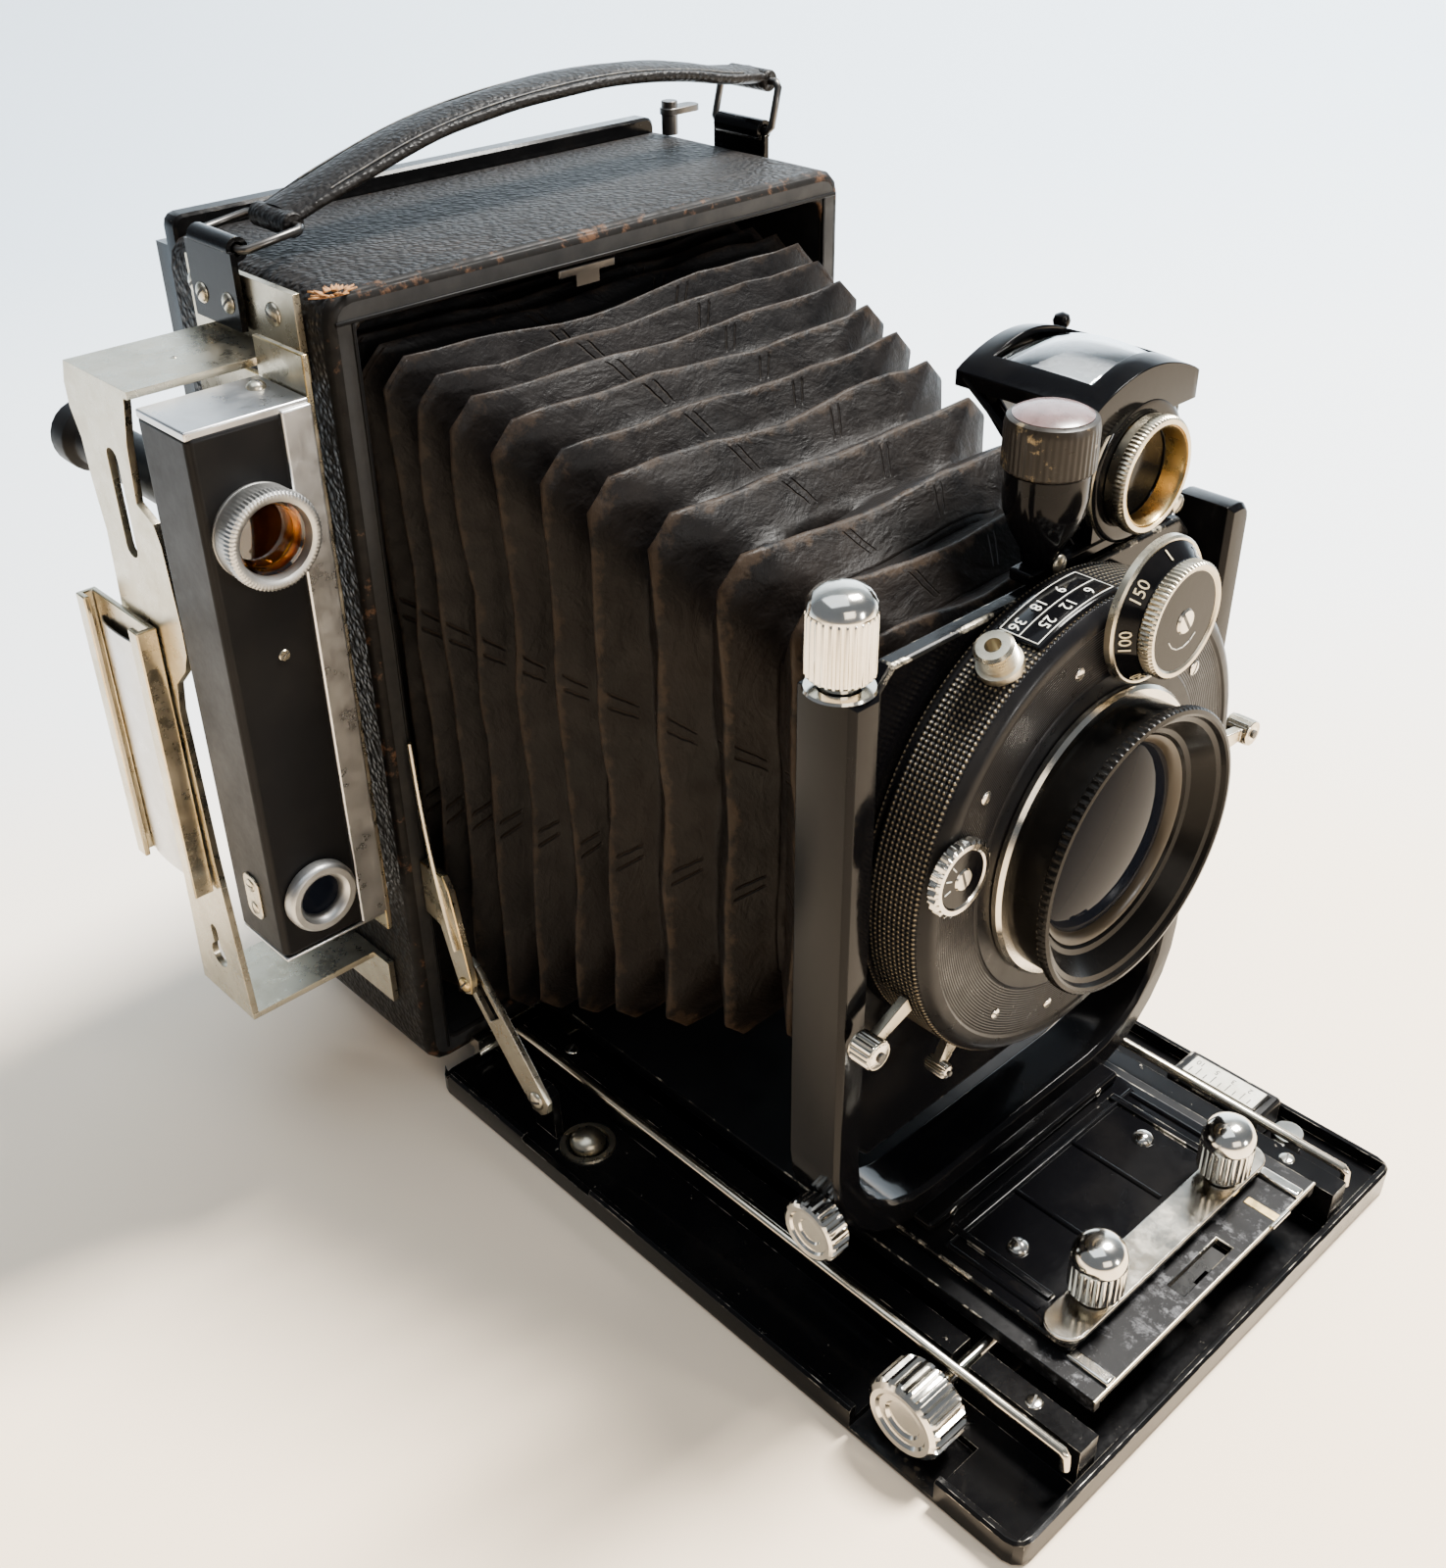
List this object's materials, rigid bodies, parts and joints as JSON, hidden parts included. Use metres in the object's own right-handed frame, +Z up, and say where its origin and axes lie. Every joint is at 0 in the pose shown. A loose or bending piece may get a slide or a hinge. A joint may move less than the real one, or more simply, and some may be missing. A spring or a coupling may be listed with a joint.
{
  "type": "folding plate camera",
  "caption": "Folding plate camera, bed open: leather bellows, U-shaped standard, dial-set leaf shutter, waist finder, spirit level, carrying handle and side rangefinder.",
  "frame": {"origin": "The middle of the open bed's underside, the camera's lowest face, which lies on the surface it stands on.", "axes": "+Y points from the lens to the rear, the lens looks along -Y, +Z is up, +X is the camera's own left."},
  "size_m": [0.1468, 0.2015, 0.1729],
  "materials": {
    "leather": "pebble-grained black leather, brown where worn",
    "black_enamel": "glossy black enamel on metal",
    "matt_black": "fine satin black paint on metal",
    "nickel": "warm, lightly worn nickel plate",
    "brass": "dull bare brass",
    "aluminium": "turned and knurled bare aluminium",
    "glass": "clear polished glass",
    "amber_glass": "amber glass",
    "mirror": "silvered mirror",
    "bellows_leather": "thin folded leather, brown at the ridges"
  },
  "bodies": {
    "camera_body": {"body_casing": "leather", "body_tripod_bush": "nickel", "bed_catch": "nickel", "bed_hinge_rod": "nickel", "back_frame": "black_enamel", "handle_bracket_left": "black_enamel", "handle_bracket_right": "black_enamel", "rf_bracket": "nickel", "rf_shoe": "nickel", "rf_back_plate": "brass", "rf_body": "matt_black", "rf_lower_ring": "aluminium", "rf_eyepiece": "matt_black", "strut_guide_left": "nickel", "strut_guide_right": "nickel", "bellows_body": "bellows_leather"},
    "bed": {"bed_panel": "black_enamel", "distance_scale": "matt_black", "bellows_focus": "bellows_leather"},
    "strut_left": {"strut_arm_left": "nickel"},
    "strut_right": {"strut_arm_right": "nickel"},
    "track": {"focus_track": "black_enamel", "bellows_carriage": "bellows_leather"},
    "focus_drive": {"focus_knob": "nickel"},
    "carriage": {"carriage_plate": "black_enamel", "grip_bar": "nickel", "bellows_cross": "bellows_leather"},
    "grip_left": {"grip_knob_left": "nickel"},
    "grip_right": {"grip_knob_right": "nickel"},
    "standard": {"standard_frame": "black_enamel", "bellows_front": "bellows_leather"},
    "cross_drive": {"cross_knob": "nickel"},
    "rise_drive": {"rise_knob": "nickel"},
    "lens_panel": {"lens_board": "black_enamel", "shutter_case": "matt_black", "lens_barrel": "black_enamel", "front_element": "glass", "finder_body": "black_enamel", "finder_lens": "glass", "finder_mirror": "mirror", "finder_ring": "nickel", "level_housing": "black_enamel", "level_glass": "glass"},
    "speed_setting": {"speed_dial": "black_enamel"},
    "mode_setting": {"mode_dial": "black_enamel"},
    "cocking": {"cocking_lever": "nickel"},
    "release": {"release_lever": "nickel"},
    "aperture": {"aperture_lever": "nickel"},
    "button": {"bed_button": "nickel"},
    "stop": {"infinity_stop": "nickel"},
    "ring_left": {"handle_ring_left": "nickel"},
    "ring_right": {"handle_ring_right": "nickel"},
    "strap": {"handle_strap": "leather"},
    "latch": {"back_latch": "nickel"},
    "screen": {"screen_holder": "black_enamel", "ground_glass": "glass"},
    "lid": {"screen_lid": "leather"},
    "filter_ring": {"rf_upper_ring": "aluminium", "rf_amber_filter": "amber_glass"}
  },
  "joints": [
    {"name": "bed_fold", "type": "hinge", "parent": "camera_body", "child": "bed", "pos_m": [0, 0.0682, 0.0052], "axis": [-1, 0, 0], "range_deg": [0, 15], "deforming": ["bellows_body"]},
    {"name": "strut_turn_left", "type": "hinge", "parent": "bed", "child": "strut_left", "pos_m": [-0.0493, 0.044, 0.0117], "axis": [1, 0, 0], "range_deg": [0, 8]},
    {"name": "strut_turn_right", "type": "hinge", "parent": "bed", "child": "strut_right", "pos_m": [0.0493, 0.044, 0.0117], "axis": [1, 0, 0], "range_deg": [0, 8]},
    {"name": "focus", "type": "slide", "parent": "bed", "child": "track", "axis": [0, -1, 0], "range_m": [0, 0.05], "deforming": ["bellows_focus"]},
    {"name": "focus_knob_turn", "type": "hinge", "parent": "bed", "child": "focus_drive", "pos_m": [-0.048, -0.0465, 0.0093], "axis": [1, 0, 0], "range_deg": [0, 1010]},
    {"name": "carriage_slide", "type": "slide", "parent": "track", "child": "carriage", "axis": [0, 1, 0], "range_m": [-0.006, 0.024], "deforming": ["bellows_carriage"]},
    {"name": "grip_pinch_left", "type": "slide", "parent": "carriage", "child": "grip_left", "axis": [1, 0, 0], "range_m": [0, 0.003], "stiffness_N_per_m": 400},
    {"name": "grip_pinch_right", "type": "slide", "parent": "carriage", "child": "grip_right", "axis": [1, 0, 0], "range_m": [-0.003, 0], "stiffness_N_per_m": 400},
    {"name": "cross_shift", "type": "slide", "parent": "carriage", "child": "standard", "axis": [1, 0, 0], "range_m": [-0.008, 0.008], "deforming": ["bellows_cross"]},
    {"name": "cross_knob_turn", "type": "hinge", "parent": "standard", "child": "cross_drive", "pos_m": [-0.047, -0.0235, 0.0295], "axis": [1, 0, 0], "range_deg": [-162, 162]},
    {"name": "rise", "type": "slide", "parent": "standard", "child": "lens_panel", "axis": [0, 0, 1], "range_m": [-0.003, 0.008], "deforming": ["bellows_front"]},
    {"name": "rise_knob_turn", "type": "hinge", "parent": "standard", "child": "rise_drive", "pos_m": [-0.04265, -0.021, 0.1228], "axis": [0, 0, 1], "range_deg": [-62, 162]},
    {"name": "speed_dial_turn", "type": "hinge", "parent": "lens_panel", "child": "speed_setting", "pos_m": [0.007, -0.036, 0.1204], "axis": [0, 1, 0], "range_deg": [0, 300]},
    {"name": "mode_dial_turn", "type": "hinge", "parent": "lens_panel", "child": "mode_setting", "pos_m": [-0.0325, -0.034, 0.0945], "axis": [0, 1, 0], "range_deg": [0, 60]},
    {"name": "cocking_lever_turn", "type": "hinge", "parent": "lens_panel", "child": "cocking", "pos_m": [0, -0.0314, 0.086], "axis": [0, -1, 0], "range_deg": [0, 45]},
    {"name": "release_lever_turn", "type": "hinge", "parent": "lens_panel", "child": "release", "pos_m": [0, -0.029, 0.086], "axis": [0, -1, 0], "range_deg": [0, 12], "stiffness_Nm_per_rad": 0.05},
    {"name": "aperture_lever_turn", "type": "hinge", "parent": "lens_panel", "child": "aperture", "pos_m": [0, -0.0283, 0.086], "axis": [0, -1, 0], "range_deg": [0, 50]},
    {"name": "bed_button_press", "type": "slide", "parent": "bed", "child": "button", "axis": [0, 0, -1], "range_m": [0, 0.0012], "stiffness_N_per_m": 500},
    {"name": "infinity_stop_turn", "type": "hinge", "parent": "bed", "child": "stop", "pos_m": [0.0466, -0.0538, 0.0033], "axis": [0, 0, 1], "range_deg": [0, 60]},
    {"name": "handle_ring_left_turn", "type": "hinge", "parent": "camera_body", "child": "ring_left", "pos_m": [-0.0562, 0.098, 0.1582], "axis": [0, -1, 0], "range_deg": [0, 12]},
    {"name": "handle_ring_right_turn", "type": "hinge", "parent": "camera_body", "child": "ring_right", "pos_m": [0.0562, 0.098, 0.1582], "axis": [0, -1, 0], "range_deg": [0, 1.1]},
    {"name": "handle_strap_turn", "type": "hinge", "parent": "ring_left", "child": "strap", "pos_m": [-0.0456, 0.098, 0.1596], "axis": [0, -1, 0], "range_deg": [-13.3, 0]},
    {"name": "back_latch_turn", "type": "hinge", "parent": "camera_body", "child": "latch", "pos_m": [0.051, 0.113, 0.155], "axis": [0, 0, 1], "range_deg": [0, 90]},
    {"name": "screen_slide", "type": "slide", "parent": "camera_body", "child": "screen", "axis": [0, 0, 1], "range_m": [0, 0.12]},
    {"name": "screen_lid_turn", "type": "hinge", "parent": "screen", "child": "lid", "pos_m": [0, 0.1291, 0.142], "axis": [1, 0, 0], "range_deg": [0, 95]},
    {"name": "filter_ring_turn", "type": "hinge", "parent": "camera_body", "child": "filter_ring", "pos_m": [-0.0743, 0.063, 0.1264], "axis": [0, 1, 0], "range_deg": [0, 270]}
  ],
  "couplings": [
    {"joint": "strut_turn_left", "follows": "bed_fold", "ratio": 0.515},
    {"joint": "strut_turn_right", "follows": "bed_fold", "ratio": 0.515},
    {"joint": "focus_knob_turn", "follows": "focus", "rad_per_m": 351},
    {"joint": "grip_pinch_right", "follows": "grip_pinch_left", "ratio": -1},
    {"joint": "cross_knob_turn", "follows": "cross_shift", "rad_per_m": 349},
    {"joint": "rise_knob_turn", "follows": "rise", "rad_per_m": 349},
    {"joint": "handle_ring_right_turn", "follows": "handle_ring_left_turn", "ratio": 0.083},
    {"joint": "handle_strap_turn", "follows": "handle_ring_left_turn", "ratio": -1.1}
  ]
}
